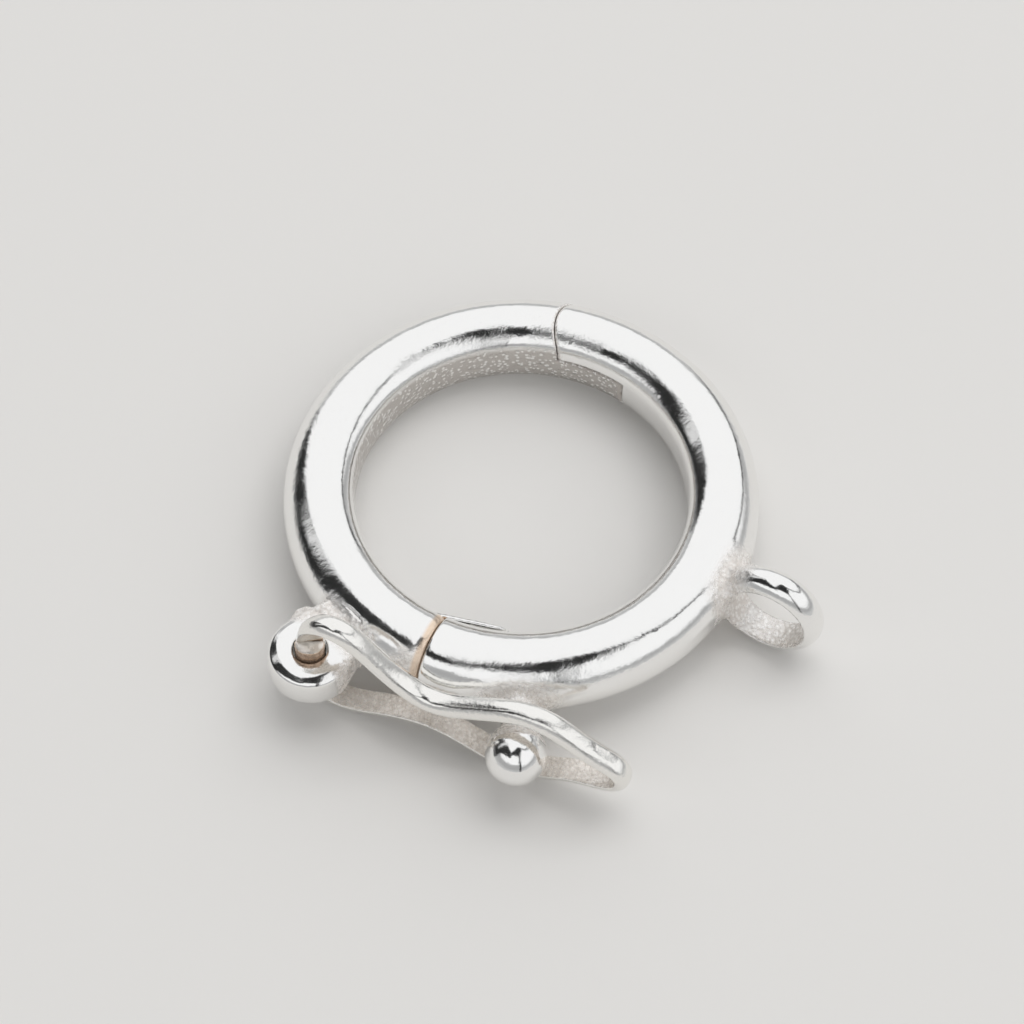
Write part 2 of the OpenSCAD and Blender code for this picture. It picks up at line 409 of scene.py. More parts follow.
def fixed_field(points):
    body = post_and_ball(ring_field(points), points)
    bail, radius, _, bail_along = bail_field(points)
    rho = np.hypot(points[:, 0], points[:, 1])
    body = join(body, np.maximum(bail, RING_R - BAIL_ROOT - rho), BAIL_FILLET)
    body = soldered(body, points, near_bail(points), *BAIL_SOLDER)
    body = soldered(body, points, near_post(points), *POST_SOLDER)
    eye = np.maximum(radius - BAIL_EYE_R, np.abs(bail_along) - BAIL_W / 2 - EYE_MARGIN)
    body = common(body, -eye, EYE_EDGE)
    body = common(body, hinge_cut(points, 1), FIXED_HINGE_EDGE)
    body = common(body, slit_cut(points, 1), FIXED_SLIT_EDGE)
    blind_bore = np.maximum(pin_bore(points, PIN_R), points[:, 2] - (RING_H / 2 - PIN_COVER))
    return common(body, -blind_bore, PIN_BORE_EDGE)


def tongue_field(points):
    start = TONGUE_SLIT_RHO * azimuth(SLIT_AZ)
    run = TONGUE_END_RHO * azimuth(TONGUE_END_AZ) - start
    length = np.linalg.norm(run)
    along = run / length
    inward = np.array([along[1], -along[0], 0])
    from_start = points - start
    forward = from_start @ along
    rise = TONGUE_RISE * ramp(forward, length * TONGUE_RISE_FROM, length)
    high = points[:, 2]
    high = np.maximum(high - TONGUE_TOP + TONGUE_FALL * rise, TONGUE_TOP - TONGUE_H + rise - high)
    thinner = TONGUE_THINNER * ramp(forward, length * TONGUE_THIN_FROM, length)
    half_t = TONGUE_T / 2 * (1 - thinner)
    side = np.abs(from_start @ inward - TONGUE_T / 2) - half_t
    ends = np.maximum(forward - length, -TONGUE_ROOT - forward)
    return common(common(side, high, TONGUE_EDGE), ends, TONGUE_EDGE)


def knuckle(body, points, radius, high):
    """The gate with the crowned barrel, the web and the lumps of solder joined on."""
    half_h = KNUCKLE_H / 2
    crown_r = (KNUCKLE_H ** 2 / 4 + KNUCKLE_CROWN ** 2) / (2 * KNUCKLE_CROWN)
    barrel = np.hypot(radius - (KNUCKLE_R - crown_r), high) - crown_r
    rim = RIM_SLOPE[0] * (radius - KNUCKLE_R) + RIM_SLOPE[1] * (np.abs(high) - half_h) + RIM_DEPTH
    barrel = common(common(barrel, rim, RIM_EDGE), np.abs(high) - half_h, BARREL_EDGE)
    body = join(body, barrel, BARREL_FILLET)
    web_out, web_along, _ = local(points, KNUCKLE_AZ, RING_R + WEB_OUT)
    web = np.hypot(web_out, web_along) - WEB_R - WEB_LUMPS * lumps(points)
    web = common(web, np.abs(high - WEB_UP) - (half_h - WEB_INSET), WEB_EDGE)
    body = join(body, web, WEB_FILLET)
    body = join(body, solder_drop(points), DROP_FILLET)
    body = soldered(body, points, near_knuckle(points), *KNUCKLE_SOLDER)
    body = soldered(body, points, knuckle_side(points), *SIDE_SOLDER)
    # Close to the barrel the solder stays level with its top
    beyond = 3 * (radius > KNUCKLE_R + 0.5)
    return common(body, high - half_h - SOLDER_TOP - beyond, SOLDER_TOP_EDGE)


def gate_field(points):
    body = ring_field(points)
    filed = FILED_SLOPE[0] * body + FILED_SLOPE[1] * slit_cut(points, -1) + FILED_DEPTH
    body = common(body, filed, FILED_EDGE)
    out, along, high = local(points, KNUCKLE_AZ, KNUCKLE_RHO)
    radius = np.hypot(out, along)
    body = knuckle(body, points, radius, high - (KNUCKLE_TOP - KNUCKLE_H / 2))
    body = common(body, hinge_cut(points, -1), GATE_EDGE)
    body = common(body, slit_cut(points, -1), GATE_EDGE)
    body = join(body, tongue_field(points), TONGUE_FILLET)
    body = common(body, -pin_bore(points, PIN_R + PIN_PLAY), PIN_BORE_EDGE)
    return common(body, BORE_R - radius, BORE_EDGE)


# Surfaces
# Surface nets: one point in each cell of a grid that the surface crosses, then moved onto it.
STEP = 0.055
BLOCK = 8
NEAR_BLOCKS = 1.15
CORNERS = [(a, b, c) for a in (0, 1) for b in (0, 1) for c in (0, 1)]


def spread(values):
    """Each block's value, repeated over the block's own grid points."""
    for axis in range(3):
        values = np.repeat(values, BLOCK, axis)
    return values


def sampled(field, low, high):
    """The field on a grid, worked out in the blocks near the surface and only signed elsewhere."""
    width = STEP * BLOCK
    blocks = np.ceil((np.asarray(high, float) - low) / width).astype(int)
    places = [(np.arange(count) + 0.5) * width for count in blocks]
    centres = np.stack(np.meshgrid(*places, indexing="ij"), -1)
    coarse = field(centres.reshape(-1, 3) + low).reshape(blocks)
    grid = spread(np.where(coarse > 0, 1.0, -1.0))
    near = spread(np.abs(coarse) < width * NEAR_BLOCKS)
    grid[near] = field(np.argwhere(near) * STEP + low)
    return grid


def net_points(grid, low):
    """The net's points, and a grid that says which point is each cell's."""
    inside = grid < 0
    count = 0
    for corner in CORNERS:
        part = tuple(slice(start, size - 1 + start) for start, size in zip(corner, grid.shape))
        count = count + inside[part].astype(np.int8)
    mixed = (count > 0) & (count < len(CORNERS))
    cells = np.argwhere(mixed)
    number = np.full(mixed.shape, -1, int)
    number[mixed] = np.arange(len(cells))
    total = np.zeros((len(cells), 3))
    hits = np.zeros(len(cells))
    for start in CORNERS:
        for axis in range(3):
            if start[axis]:
                continue
            end = tuple(place + (k == axis) for k, place in enumerate(start))
            at_start = grid[tuple((cells + start).T)]
            at_end = grid[tuple((cells + end).T)]
            crossed = (at_start < 0) != (at_end < 0)
            point = np.tile(np.array(start, float), (len(cells), 1))
            point[:, axis] += np.where(crossed, at_start / np.where(crossed, at_start - at_end, 1), 0)
            total += point * crossed[:, None]
            hits += crossed
    return (cells + total / hits[:, None]) * STEP + low, number


def net_faces(grid, number):
    """A four-sided face across each edge of the grid that the surface crosses."""
    inside = grid < 0
    faces = []
    for axis in range(3):
        here = [slice(1, size - 1) for size in grid.shape]
        ahead = list(here)
        here[axis] = slice(1, grid.shape[axis] - 2)
        ahead[axis] = slice(2, grid.shape[axis] - 1)
        start, end = inside[tuple(here)], inside[tuple(ahead)]
        u, v = (axis + 1) % 3, (axis + 2) % 3
        for flip, crossed in ((False, start & ~end), (True, ~start & end)):
            edges = np.argwhere(crossed) + 1
            corners = []
            for du, dv in ((0, 0), (1, 0), (1, 1), (0, 1)):
                cell = edges.copy()
                cell[:, u] -= du
                cell[:, v] -= dv
                corners.append(number[tuple(cell.T)])
            corners = np.stack(corners, 1)
            faces.append(corners[:, ::-1] if flip else corners)
    faces = np.concatenate(faces)
    return faces[(faces >= 0).all(1)]


def gradient(field, points, reach=0.004):
    """The field's slope in x, y and z."""
    return np.stack([(field(points + shift) - field(points - shift)) / (2 * reach)
                     for shift in np.eye(3) * reach], 1)


def surface(field, low, high):
    """The points and faces of a field's surface between two corners. The points move along
    the field's slope in three short steps until they lie on it."""
    low = np.asarray(low, float)
    grid = sampled(field, low, high)
    points, number = net_points(grid, low)
    for _ in range(3):
        value, slope = field(points), gradient(field, points)
        move = (value / np.maximum((slope ** 2).sum(1), 0.25))[:, None] * slope
        far = np.linalg.norm(move, axis=1)
        points -= move * np.minimum(1, 0.6 * STEP / np.maximum(far, 1e-9))[:, None]
    return points, net_faces(grid, number)


def add_piece(name, points, faces, body, node, material, attributes):
    mesh = bpy.data.meshes.new(name)
    mesh.from_pydata(at_rest(points).tolist(), [], [list(map(int, face)) for face in faces])
    mesh.polygons.foreach_set("use_smooth", np.ones(len(faces), bool))
    for key, values in attributes.items():
        layer = mesh.attributes.new(key, "FLOAT", "POINT")
        layer.data.foreach_set("value", np.asarray(values, np.float32))
    mesh.materials.append(material)
    mesh.update()
    piece = bpy.data.objects.new(name, mesh)
    scene.collection.objects.link(piece)
    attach(piece, body)
    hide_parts(node)


# Materials
# Colours of the silver's finish, of its painted darker reflection where it is pitted, and of the painted
# shade between its grains
SPOT_BROWN = (0.34, 0.28, 0.22)
PAINTED_REFLECTION_GREY = (0.52, 0.485, 0.455)
# Painted shade in the gaps between grains
GRAIN_GAP_SHADE = (0.60, 0.53, 0.47)
COPPER = (0.90, 0.73, 0.58)
BURNT = (0.30, 0.16, 0.08)
# Sizes of its textures in millimetres, and the depth of its relief
BROAD_SIZE = 0.9
DENT_SIZE = 0.5
PIT_SIZE = 0.15
FINE_SIZE = 0.11
SPECK_SIZE = 0.07
GRAINS_PER_MM = 7.0
RELIEF_DEPTH = 0.03


class Nodes:
    """Short spellings for building a node tree."""

    def __init__(self, tree):
        self.tree = tree
        tree.nodes.clear()

    def add(self, kind, inputs=None, **settings):
        node = self.tree.nodes.new(kind)
        for key, value in settings.items():
            setattr(node, key, value)
        for key, value in (inputs or {}).items():
            if isinstance(value, bpy.types.NodeSocket):
                self.tree.links.new(value, node.inputs[key])
            else:
                node.inputs[key].default_value = value
        return node

    def math(self, operation, a, b=0.0, c=0.0):
        return self.add("ShaderNodeMath", {0: a, 1: b, 2: c}, operation=operation).outputs[0]

    def times(self, a, b):
        return self.math("MULTIPLY", a, b)

    def times_plus(self, a, b, c):
        return self.math("MULTIPLY_ADD", a, b, c)

    def mix(self, factor, a, b):
        node = self.add("ShaderNodeMix", data_type="RGBA", inputs={0: factor})
        for key, value in ((6, a), (7, b)):
            if isinstance(value, bpy.types.NodeSocket):
                self.tree.links.new(value, node.inputs[key])
            else:
                node.inputs[key].default_value = (*value, 1.0)
        return node.outputs[2]

    def band(self, value, low, high, to_low=0.0, to_high=1.0):
        return self.add("ShaderNodeMapRange", {0: value, 1: low, 2: high, 3: to_low, 4: to_high},
                        interpolation_type="SMOOTHSTEP").outputs[0]

    def noise(self, place, size, detail=2.0, rough=0.5):
        inputs = {"Vector": place, "Scale": 1.0 / size, "Detail": detail, "Roughness": rough}
        return self.add("ShaderNodeTexNoise", inputs).outputs["Fac"]

    def attribute(self, name):
        return self.add("ShaderNodeAttribute", attribute_name=name).outputs["Fac"]


def silver(name, polished, matt, polish=0.1):
    """Polished silver. The point attributes say where it is grainy and matt (along the hinge's
    seam a painted highlight), where it is pitted and painted a darker grey reflection with
    painted bright glints, where it is stained, and where it is mottled."""
    material = bpy.data.materials.new(name)
    material.use_nodes = True
    n = Nodes(material.node_tree)
    metres = n.add("ShaderNodeTexCoord").outputs["Object"]
    place = n.add("ShaderNodeVectorMath", {0: metres, 3: 1 / MM}, operation="SCALE").outputs[0]
    grain, pits_and_painted_reflection, stain, mottled = [n.attribute(key) for key in ("grain", "pits_and_painted_reflection", "stain", "mottled")]
    broad = n.noise(place, BROAD_SIZE, 3.0)
    fine = n.noise(place, FINE_SIZE, 4.0, 0.65)
    speck = n.noise(place, SPECK_SIZE, 2.0, 0.6)
    dents = n.noise(place, DENT_SIZE, 1.0, 0.4)
    pits = n.noise(place, PIT_SIZE, 2.0, 0.5)
    grains = n.add("ShaderNodeTexVoronoi", {"Vector": place, "Scale": GRAINS_PER_MM}).outputs["Distance"]
    # Painted bright glints: where the grains and the fine noise leave the painted reflection out
    painted_glints = n.times(n.band(grains, 0.45, 0.3), n.band(fine, 0.4, 0.5))
    # Colour: bright metal, duller and warmer where it is matt, with brown spots, a painted darker grey
    #     # reflection with painted bright glints where it is pitted, painted shade between the grains where
    #     # it is matt, and brown where it is stained
    metal = n.mix(grain, polished, matt)
    spots = n.times(n.band(speck, 0.6, 0.75), n.times_plus(grain, 0.35, 0.08))
    metal = n.mix(spots, metal, SPOT_BROWN)
    # Pitted parts are painted a darker grey reflection, with painted bright glints left at the grains
    metal = n.mix(n.times(pits_and_painted_reflection, n.band(painted_glints, 0.6, 0.1)), metal, PAINTED_REFLECTION_GREY)
    # Painted shade in the gaps between the grains, where it is matt
    metal = n.mix(n.times(grain, n.band(grains, 0.3, 0.65, 0.0, 0.38)), metal, GRAIN_GAP_SHADE)
    metal = n.mix(n.band(stain, 0.05, 0.45), metal, COPPER)
    metal = n.mix(n.band(stain, 0.6, 0.95), metal, BURNT)
    # Roughness: uneven polish, and dull where it is grainy, stained or pitted
    rough = n.times(n.math("ADD", grain, stain), n.band(fine, 0.3, 0.7, 0.1, 0.3))
    rough = n.math("ADD", n.band(broad, 0.35, 0.7, polish, polish + 0.06), rough)
    rough = n.times_plus(pits_and_painted_reflection, 0.12, rough)
    # Relief: shallow dents, a mottled bloom in places, and grains where it is matt or pitted
    bloom = n.times(mottled, n.band(broad, 0.4, 0.56, 0.08, 0.34))
    relief = n.times_plus(dents, 0.3, n.times(pits, 0.14))
    relief = n.times_plus(fine, n.math("ADD", bloom, 0.02), relief)
    relief = n.times_plus(fine, n.times_plus(pits_and_painted_reflection, 0.5, n.times(grain, 0.8)), relief)
    relief = n.times_plus(grains, n.times_plus(pits_and_painted_reflection, -1.1, n.times(grain, -0.75)), relief)
    bump = n.add("ShaderNodeBump", {"Strength": 1.0, "Distance": RELIEF_DEPTH * MM, "Height": relief})
    metallic = n.times_plus(stain, -0.5, n.times_plus(grain, -0.68, 1.0))
    shader = n.add("ShaderNodeBsdfPrincipled", {
        "Base Color": metal, "Metallic": metallic, "Roughness": rough, "Normal": bump.outputs[0]})
    n.add("ShaderNodeOutputMaterial", {"Surface": shader.outputs[0]})
    return material


SILVER = silver("silver", (0.94, 0.935, 0.92), (0.97, 0.94, 0.905))
WIRE_SILVER = silver("wire_silver", (0.93, 0.92, 0.89), (0.98, 0.93, 0.87), 0.08)
PIN_SILVER = silver("pin_silver", (0.88, 0.87, 0.84), (0.80, 0.76, 0.70), 0.2)

# The two halves
# Where the polish is mottled: start and end in degrees round the ring, the softness of the
# ends, the strength, and the part of the bar
MOTTLED_ZONES = (
    (60, 135, 12, 1.0, "inner"),
    (145, 220, 12, 0.7, "outer"),
    (250, 300, 12, 0.6, "outer"),
    (20, 70, 12, 0.8, "inner"),
    (10, 150, 30, 0.8, "edge"))
# The inner part fades out between these distances from the centre, and the others fade in
INNER_PART = (5.9, 6.3)
OUTER_PART = (6.5, 6.9)
EDGE_PART = (7.0, 7.3)
# Where the gate's inner wall is left rough and pitted, and painted a darker grey reflection with painted
# # bright glints: start, end and softness in degrees, how pitted and how strongly painted it is, the depth
# # of its rough skin, and the height up to which it is rough
ROUGH_WALL_AND_REFLECTION = (40, 185, 30)
WALL_PITS_AND_REFLECTION = 0.85
WALL_DEPTH = (0.06, 0.2)
WALL_TOP = (0.55, 0.75)
# Stain on the cut faces at the slit and on the gate's filed edge, and how far it reaches
CUT_STAIN = 0.14
CUT_STAIN_UNEVEN = 0.1
CUT_STAIN_SIZE = 0.6
CUT_STAIN_DEPTH = 0.03
FILED_STAIN = 0.5
FILED_STAIN_DEPTH = (0.1, 0.34)
# Painted highlight along the hinge's seam: its edges made pale and matt
SEAM_PAINTED_HIGHLIGHT = 0.75
SEAM_HIGHLIGHT_DEPTH = (0.035, 0.075)
# Solder's matt finish at the post, on the collar and on the knuckle's side, and the bail's eye
POST_MATT = 0.8
COLLAR_MATT = 0.85
COLLAR_DEPTH = (0.015, 0.04)
SIDE_MATT = 0.9
EYE_MATT = 0.45
# The bail's eye is pitted too, and faintly painted with the darker reflection and glints
EYE_PITS_AND_REFLECTION = 0.25
EYE_DEPTH = (0.02, 0.08)
EYE_WALL_FROM = -1.3


def zone(turn, start, end, soft):
    """One between two azimuths in degrees, with soft ends."""
    middle = (start + end) / 2
    half = (end - start) / 2
    return fade(np.abs((turn - middle + 180) % 360 - 180), half - soft / 2, half + soft / 2)


def half_attributes(points, grain, side):
    """How a half's points are finished, from where solder makes them grainy. The gate's rough wall is
    also painted a darker reflection with glints, and the hinge's seam a pale highlight.
    """
    rho = np.hypot(points[:, 0], points[:, 1])
    turn = np.degrees(np.arctan2(points[:, 1], points[:, 0]))
    # One on the ring's own bar, and nothing on what is soldered to it
    on_ring = ramp(rho, HOLE_R - 0.06, HOLE_R - 0.01) * fade(rho, RING_R + 0.02, RING_R + 0.15)
    # The gate's rough inner wall: pitted, and painted a darker reflection with glints
    rough_wall_and_reflection = on_ring * fade(rho - HOLE_R, *WALL_DEPTH) * fade(points[:, 2], *WALL_TOP)
    rough_wall_and_reflection = rough_wall_and_reflection * zone(turn, *ROUGH_WALL_AND_REFLECTION) * (side < 0)
    parts = {"inner": fade(rho, *INNER_PART), "outer": ramp(rho, *OUTER_PART),
             "edge": ramp(rho, *EDGE_PART)}
    mottled = np.maximum.reduce([strength * zone(turn, start, end, soft) * parts[part]
                                 for start, end, soft, strength, part in MOTTLED_ZONES])
    # The cut faces at the slit are faintly stained, and the gate's filed edge is copper brown
    from_slit = -slit_cut(points, side)
    stain = CUT_STAIN + CUT_STAIN_UNEVEN * noise(points, CUT_STAIN_SIZE)
    stain = stain * fade(from_slit, 0.0, CUT_STAIN_DEPTH)
    if side < 0:
        stain = np.maximum(stain, FILED_STAIN * fade(from_slit, *FILED_STAIN_DEPTH)) * on_ring
    # The edges along the hinge's seam are made pale and matt, a painted highlight
    grain = np.maximum(grain, SEAM_PAINTED_HIGHLIGHT * fade(-hinge_cut(points, side), *SEAM_HIGHLIGHT_DEPTH))
    return {"grain": np.clip(grain, 0, 1), "pits_and_painted_reflection": WALL_PITS_AND_REFLECTION * rough_wall_and_reflection, "stain": np.clip(stain, 0, 1),
            "mottled": mottled * on_ring}


def add_fixed_half():
    points, faces = surface(fixed_field, (-3.6, -10.4, -2.0), (10.3, 8.0, 2.0))
    solder = np.maximum(near_bail(points), POST_MATT * near_post(points))
    attributes = half_attributes(points, solder, 1)
    collar = COLLAR_MATT * fade(collar_field(points), *COLLAR_DEPTH)
    _, bail_radius, bail_out, _ = bail_field(points)
    eye_wall = fade(bail_radius - BAIL_EYE_R, *EYE_DEPTH) * (bail_out > EYE_WALL_FROM)
    attributes["grain"] = np.maximum.reduce([attributes["grain"], collar, EYE_MATT * eye_wall])
    # The eye's wall is pitted and faintly painted with the darker reflection and glints
    attributes["pits_and_painted_reflection"] = np.maximum(attributes["pits_and_painted_reflection"], EYE_PITS_AND_REFLECTION * eye_wall)
    from_ball = np.linalg.norm(points - azimuth(BALL_AZ) * BALL_RHO, axis=1)
    attributes["mottled"] *= from_ball > BALL_R + 0.05
    add_piece("fixed_half_skin", points, faces, "fixed", "fixed_half", SILVER, attributes)


def add_gate_half():
    points, faces = surface(gate_field, (-8.0, -8.6, -1.5), (4.0, 8.0, 1.6))
    solder = np.maximum(near_knuckle(points), SIDE_MATT * knuckle_side(points))
    add_piece("gate_half_skin", points, faces, "gate", "gate_half", SILVER,
              half_attributes(points, solder, -1))


# Hinge pin
def add_hinge_pin():
    """A turned pin with rounded ends, as rings of points from its lower end to its top."""
    low = PIN_SUNK - RING_H / 2
    top = RING_H / 2 - PIN_COVER - PIN_TOP_GAP
    radius = PIN_R - PIN_FIT
    profile = [(0.2, low), (0.33, low + 0.015), (0.375, low + 0.05), (radius, low + 0.11),
               (radius, 0.2), (radius, top - 0.04), (0.35, top)]
    axis = azimuth(HINGE_AZ) * HINGE_RHO
    turns = [2 * math.pi * k / PIN_SIDES for k in range(PIN_SIDES)]
    points = [axis + [reach * math.cos(turn), reach * math.sin(turn), high]
              for reach, high in profile for turn in turns]
    bottom_point, top_point = len(points), len(points) + 1
    points += [axis + [0, 0, low], axis + [0, 0, top]]
    last_ring = (len(profile) - 1) * PIN_SIDES
    faces = []
    for k in range(PIN_SIDES):
        ahead = (k + 1) % PIN_SIDES
        for base in range(0, last_ring, PIN_SIDES):
            faces.append((base + k, base + ahead, base + PIN_SIDES + ahead, base + PIN_SIDES + k))
        faces.append((bottom_point, ahead, k))
        faces.append((top_point, last_ring + k, last_ring + ahead))
    points = np.array(points)
    attributes = {"grain": np.full(len(points), PIN_MATT), "stain": np.full(len(points), PIN_STAIN)}
    add_piece("hinge_pin_skin", points, faces, "fixed", "hinge_pin", PIN_SILVER, attributes)


# Safety catch
# The wire's flat inner side as [distance from the pivot, height], round the figure eight:
# up out of the bore, out over the ball, round the tip, back underneath and up into the bore
KNOTS = [
    [0.00, -0.40], [0.00, 0.20], [0.01, 0.80], [0.05, 1.45], [0.16, 2.02], [0.50, 2.40], [0.95, 2.46],
    [1.40, 2.24], [1.90, 1.74], [2.50, 1.12], [3.10, 0.62], [3.60, 0.34], [4.10, 0.26], [4.60, 0.34],
    [5.20, 0.62], [5.90, 0.98], [6.60, 1.32], [7.25, 1.46], [7.85, 1.34], [8.40, 1.02],
    [8.90, 0.70], [9.40, 0.46], [9.80, 0.28], [10.06, 0.02], [9.98, -0.34], [9.60, -0.54],
    [9.00, -0.64], [8.40, -0.80], [7.80, -1.12], [7.20, -1.36], [6.60, -1.40], [6.00, -1.26],
    [5.30, -0.96], [4.60, -0.68], [3.90, -0.54], [3.20, -0.62], [2.50, -0.82], [1.80, -1.10],
    [1.15, -1.26], [0.60, -1.20], [0.22, -0.92], [0.08, -0.50], [0.02, -0.05], [0.00, 0.40],
    [0.00, 0.90], [0.00, KNUCKLE_TOP + PIVOT_PROUD]]
STEPS_PER_KNOT = 12
SPACING = 0.05
SMOOTHING = 4.0
SMOOTHING_REACH = 12
# The wire's ends in the bore: their straight length, where the wire is its own self again,
# how much thicker it is there, and the half gap between the two ends
BORE_RUN = 1.3
BORE_FREE = 2.4
BORE_SWELL = 0.17
END_GAP = 0.012
END_GAP_RUN = 1.6
# The flat side is turned in the bore, one end to the back and one to the front, and has
# turned to face its strand's other side at these lengths
START_TURN = math.radians(-90 - CATCH_AZ)
START_TURNED = 3.7
END_TURN = math.radians(90 - CATCH_AZ)
END_TURNED = 3.2
# The caps at the wire's two ends
CAP_SHARE = 0.93
CAP_RIM = 0.025
CAP_MIDDLE = 0.028
CAP_MATT = 0.45
CAP_STAIN = 0.16
# The flat side is matt but for its first stretch, the end in the bore is brown, and the rest
# is mottled
FLAT_MATT = 0.85
FIRST_MATT = 0.1
FIRST_RUN = 2.5
LEAST_MATT = 0.06
BORE_STAIN = 0.8
WIRE_MOTTLED = 0.8
# The section's edge and least bend, along the wire and in the bore
WIRE_BENDS = (0.05, 0.2)
BORE_BENDS = (0.06, 0.28)
# Where its back bends more gently, in degrees: how wide at the middle, where and how wide on
# the flanks
MIDDLE_WIDE = 9
FLANK_AT = 66
FLANK_WIDE = 18


def spline(knots, steps):
    """A Catmull-Rom curve through the knots."""
    knots = np.array(knots)
    knots = np.vstack([2 * knots[0] - knots[1], knots, 2 * knots[-1] - knots[-2]])
    points = []
    for i in range(1, len(knots) - 2):
        a, b, c, d = knots[i - 1:i + 3]
        for step in range(steps):
            t = step / steps
            points.append(0.5 * (2 * b + t * (c - a) + t * t * (2 * a - 5 * b + 4 * c - d)
                                 + t ** 3 * (3 * b - a - 3 * c + d)))
    return np.vstack(points + [knots[-2]])


def catch_path():
    """The wire's smoothed path in even steps, and each point's length from the start."""
    path = spline(KNOTS, STEPS_PER_KNOT)
    length = np.concatenate([[0], np.cumsum(np.linalg.norm(np.diff(path, axis=0), axis=1))])
    places = np.linspace(0, length[-1], int(length[-1] / SPACING))
    path = np.stack([np.interp(places, length, path[:, k]) for k in (0, 1)], 1)
    kernel = np.exp(-0.5 * (np.arange(-SMOOTHING_REACH, SMOOTHING_REACH + 1) / SMOOTHING) ** 2)
    kernel /= kernel.sum()
    before = 2 * path[0] - path[SMOOTHING_REACH:0:-1]
    after = 2 * path[-1] - path[-2:-SMOOTHING_REACH - 2:-1]
    padded = np.vstack([before, path, after])
    return np.stack([np.convolve(padded[:, k], kernel, "valid") for k in (0, 1)], 1), places


def wire_section(width, thickness, edge, least):
    """Half-round section as [out from the flat, across], with rounded edges. Its back bends
    with the least radius given, and more gently at its middle and on its flanks."""
    turn = np.radians(np.linspace(0, 90, 500))
    middle = np.exp(-(np.degrees(turn) / MIDDLE_WIDE) ** 2)
    flank = np.exp(-((np.degrees(turn) - FLANK_AT) / FLANK_WIDE) ** 2)
    level, fall = np.cos(turn) * turn[1], np.sin(turn) * turn[1]
    left_over = [width / 2 - edge - least * level.sum(), thickness - 2 * edge - least * fall.sum()]
    share = np.linalg.solve([[middle @ level, flank @ level], [middle @ fall, flank @ fall]], left_over)
    bend = least + share[0] * middle + share[1] * flank
    across = np.concatenate([[0], np.cumsum(bend * level)[:-1]])
    high = thickness - 2 * edge - np.concatenate([[0], np.cumsum(bend * fall)[:-1]])
    half_flat = width / 2 - edge
    rim = []
    back = [*np.linspace(-90, -15, 21), *np.linspace(-12, 12, 9), *np.linspace(15, 90, 21)]
    for angle in np.radians(back):
        place = math.copysign(np.interp(abs(angle), turn, across), angle)
        out = np.interp(abs(angle), turn, high) + edge * math.cos(angle) + edge
        rim.append((out, place + edge * math.sin(angle)))
    for angle in np.radians(np.linspace(90, 180, 6)[1:]):
        rim.append((edge * math.cos(angle) + edge, half_flat + edge * math.sin(angle)))
    rim += [(0.0, place) for place in np.linspace(half_flat, -half_flat, 7)[1:-1]]
    for angle in np.radians(np.linspace(180, 270, 6)[:-1]):
        rim.append((edge * math.cos(angle) + edge, -half_flat + edge * math.sin(angle)))
    return np.array(rim)


def add_safety_catch():
    path, from_start = catch_path()
    from_end = from_start[-1] - from_start
    from_bore = np.minimum(from_start, from_end)
    tangent = np.gradient(path, axis=0)
    tangent /= np.linalg.norm(tangent, axis=1)[:, None]
    twist = START_TURN * fade(from_start, BORE_RUN, START_TURNED)
    twist = twist + END_TURN * fade(from_end, BORE_RUN, END_TURNED)
    in_bore = fade(from_bore, BORE_RUN, BORE_FREE)
    swell = 1 + BORE_SWELL * in_bore
    apart = END_GAP * fade(from_bore, END_GAP_RUN, BORE_FREE)
    section = wire_section(WIRE_W, WIRE_T, *WIRE_BENDS)
    end_section = wire_section(WIRE_W, WIRE_T, *BORE_BENDS)
    flat = (section[:, 0] < 0.02).astype(float)

    pivot = azimuth(KNUCKLE_AZ) * KNUCKLE_RHO
    forward = azimuth(CATCH_AZ)
    upright = np.array([0, 0, 1.0])
    rings, grain, stain, ahead = [], [], [], []
    for i in range(len(path)):
        ahead.append(forward * tangent[i, 0] + upright * tangent[i, 1])
        left = -forward * tangent[i, 1] + upright * tangent[i, 0]
        out = left * math.cos(twist[i]) + np.cross(ahead[i], left) * math.sin(twist[i])
        across = np.cross(ahead[i], out)
        outline = (section + (end_section - section) * in_bore[i]) * swell[i]
        middle = pivot + forward * path[i, 0] + upright * path[i, 1] + out * apart[i]
        rings.append(middle + np.outer(outline[:, 0], out) + np.outer(outline[:, 1], across))
        flat_matt = FIRST_MATT if from_start[i] < FIRST_RUN else FLAT_MATT
        grain.append(np.maximum(flat * flat_matt, LEAST_MATT))
        stain.append(np.full(len(section), BORE_STAIN if from_end[i] < BORE_RUN else 0.0))

    sides = len(section)
    last = len(rings) - 1
    faces = []
    for base in range(0, last * sides, sides):
        for k in range(sides):
            beside = (k + 1) % sides
            faces.append((base + k, base + beside, base + sides + beside, base + sides + k))
    base = len(rings) * sides
    for i, sign in ((0, -1), (last, 1)):
        ring = rings[i]
        middle = ring.mean(0)
        rings.append(middle + (ring - middle) * CAP_SHARE + ahead[i] * sign * CAP_RIM)
        rings.append((middle + ahead[i] * sign * CAP_MIDDLE)[None])
        grain.append(np.full(sides + 1, CAP_MATT))
        stain.append(np.full(sides + 1, CAP_STAIN))
        for k in range(sides):
            beside = (k + 1) % sides
            quad = (i * sides + k, i * sides + beside, base + beside, base + k)
            tri = (base + k, base + beside, base + sides)
            faces += [quad, tri] if sign > 0 else [quad[::-1], tri[::-1]]
        base += sides + 1
    grain, stain = np.concatenate(grain), np.concatenate(stain)
    mottled = WIRE_MOTTLED * (grain < FIRST_MATT)
    add_piece("safety_catch_skin", np.vstack(rings), faces, "catch", "safety_catch",
              WIRE_SILVER, {"grain": grain, "stain": stain, "mottled": mottled})


add_fixed_half()
add_gate_half()
add_hinge_pin()
add_safety_catch()


